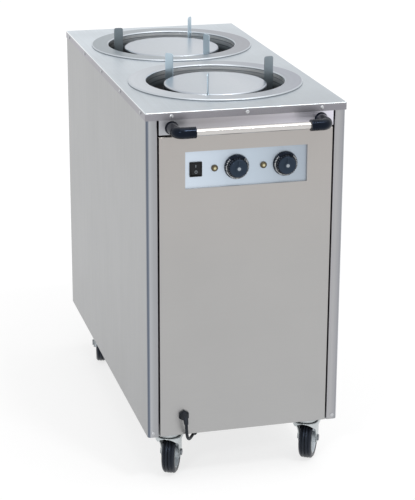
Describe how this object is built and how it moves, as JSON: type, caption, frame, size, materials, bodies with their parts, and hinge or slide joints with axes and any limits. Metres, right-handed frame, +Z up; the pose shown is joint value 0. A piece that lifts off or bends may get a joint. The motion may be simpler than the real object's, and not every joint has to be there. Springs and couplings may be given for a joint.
{
  "type": "plate dispenser cart",
  "caption": "Heated plate dispenser cart with spring-lifted platforms in round wells, a push handle, thermostat knobs and swivel casters.",
  "frame": {"origin": "on the floor under the middle of the cart and its handle", "axes": "+Z up, the control panel and handle face -Y, X runs across the front"},
  "size_m": [0.4544, 0.9926, 0.922],
  "materials": {
    "cabinet_steel": "brushed stainless steel",
    "liner_steel": "dull stainless steel",
    "spring_steel": "drawn wire",
    "control_face": "pale satin face",
    "black_plastic": "glossy black",
    "lamp_ring": "pale glossy ring",
    "lamp_amber": "translucent amber",
    "bright_steel": "polished",
    "fastener_zinc": "zinc plated",
    "caster_zinc": "zinc plated pressing",
    "hub_plastic": "grey moulded",
    "tyre_rubber": "ribbed black rubber",
    "cord_rubber": "black rubber",
    "clip_plastic": "black moulded",
    "heater_sheath": "heat darkened"
  },
  "bodies": {
    "cabinet": {"base_pan": "liner_steel", "side_panel_left": "cabinet_steel", "side_panel_right": "cabinet_steel", "front_header": "cabinet_steel", "front_panel": "cabinet_steel", "rear_panel": "cabinet_steel", "top_deck": "cabinet_steel", "ring_front": "cabinet_steel", "ring_back": "cabinet_steel", "well_front": "liner_steel", "well_back": "liner_steel", "springs_front": "spring_steel", "springs_back": "spring_steel", "plate_guides_front": "liner_steel", "plate_guides_back": "liner_steel", "guide_brackets": "liner_steel", "guide_bolts": "fastener_zinc", "control_plate": "control_face", "switch_housing": "black_plastic", "lamp_bezels": "lamp_ring", "lamp_lenses": "lamp_amber", "thermostat_left": "black_plastic", "thermostat_right": "black_plastic", "handle_tube": "bright_steel", "handle_elbow_left": "black_plastic", "handle_elbow_right": "black_plastic", "cable_gland": "cord_rubber", "cord_clip": "clip_plastic", "power_cord": "cord_rubber", "cord_coil": "cord_rubber", "power_plug": "cord_rubber", "heating_elements": "heater_sheath", "caster_plates": "caster_zinc", "base_bolts": "fastener_zinc", "cabinet_screws": "fastener_zinc"},
    "platform_front": {"platform_front": "liner_steel", "carrier_front": "liner_steel"},
    "platform_back": {"platform_back": "liner_steel", "carrier_back": "liner_steel"},
    "knob_left": {"knob_left": "black_plastic", "spindle_left": "bright_steel"},
    "knob_right": {"knob_right": "black_plastic", "spindle_right": "bright_steel"},
    "rocker": {"switch_rocker": "black_plastic"},
    "swivel_fl": {"fork_fl": "caster_zinc", "axle_fl": "fastener_zinc"},
    "wheel_fl": {"hub_fl": "hub_plastic", "tyre_fl": "tyre_rubber"},
    "swivel_fr": {"fork_fr": "caster_zinc", "axle_fr": "fastener_zinc"},
    "wheel_fr": {"hub_fr": "hub_plastic", "tyre_fr": "tyre_rubber"},
    "swivel_bl": {"fork_bl": "caster_zinc", "axle_bl": "fastener_zinc"},
    "wheel_bl": {"hub_bl": "hub_plastic", "tyre_bl": "tyre_rubber"},
    "swivel_br": {"fork_br": "caster_zinc", "axle_br": "fastener_zinc"},
    "wheel_br": {"hub_br": "hub_plastic", "tyre_br": "tyre_rubber"}
  },
  "joints": [
    {"name": "platform_front_slide", "type": "slide", "parent": "cabinet", "child": "platform_front", "axis": [0, 0, 1], "range_m": [-0.398, 0], "stiffness_N_per_m": 650, "springref_m": 0.06, "deforming": ["springs_front"]},
    {"name": "platform_back_slide", "type": "slide", "parent": "cabinet", "child": "platform_back", "axis": [0, 0, 1], "range_m": [-0.398, 0], "stiffness_N_per_m": 650, "springref_m": 0.06, "deforming": ["springs_back"]},
    {"name": "knob_left_turn", "type": "hinge", "parent": "cabinet", "child": "knob_left", "pos_m": [-0.0215, -0.43935, 0.7442], "axis": [0, 1, 0], "range_deg": [0, 270]},
    {"name": "knob_right_turn", "type": "hinge", "parent": "cabinet", "child": "knob_right", "pos_m": [0.0885, -0.43935, 0.7442], "axis": [0, 1, 0], "range_deg": [0, 270]},
    {"name": "switch_rock", "type": "hinge", "parent": "cabinet", "child": "rocker", "pos_m": [-0.113, -0.42735, 0.7442], "axis": [1, 0, 0], "range_deg": [0, 20]},
    {"name": "swivel_fl_turn", "type": "hinge", "parent": "cabinet", "child": "swivel_fl", "pos_m": [-0.165, -0.38785, 0.11], "axis": [0, 0, 1], "continuous": true},
    {"name": "wheel_fl_roll", "type": "hinge", "parent": "swivel_fl", "child": "wheel_fl", "pos_m": [-0.1509, -0.35691, 0.05], "axis": [0.91, -0.4147, 0], "continuous": true},
    {"name": "swivel_fr_turn", "type": "hinge", "parent": "cabinet", "child": "swivel_fr", "pos_m": [0.165, -0.38785, 0.11], "axis": [0, 0, 1], "continuous": true},
    {"name": "wheel_fr_roll", "type": "hinge", "parent": "swivel_fr", "child": "wheel_fr", "pos_m": [0.18148, -0.35811, 0.05], "axis": [0.8746, -0.4848, 0], "continuous": true},
    {"name": "swivel_bl_turn", "type": "hinge", "parent": "cabinet", "child": "swivel_bl", "pos_m": [-0.165, 0.38915, 0.11], "axis": [0, 0, 1], "continuous": true},
    {"name": "wheel_bl_roll", "type": "hinge", "parent": "swivel_bl", "child": "wheel_bl", "pos_m": [-0.1709, 0.35567, 0.05], "axis": [-0.9848, 0.1736, 0], "continuous": true},
    {"name": "swivel_br_turn", "type": "hinge", "parent": "cabinet", "child": "swivel_br", "pos_m": [0.165, 0.38915, 0.11], "axis": [0, 0, 1], "continuous": true},
    {"name": "wheel_br_roll", "type": "hinge", "parent": "swivel_br", "child": "wheel_br", "pos_m": [0.1738, 0.35631, 0.05], "axis": [-0.9659, -0.2588, 0], "continuous": true}
  ]
}
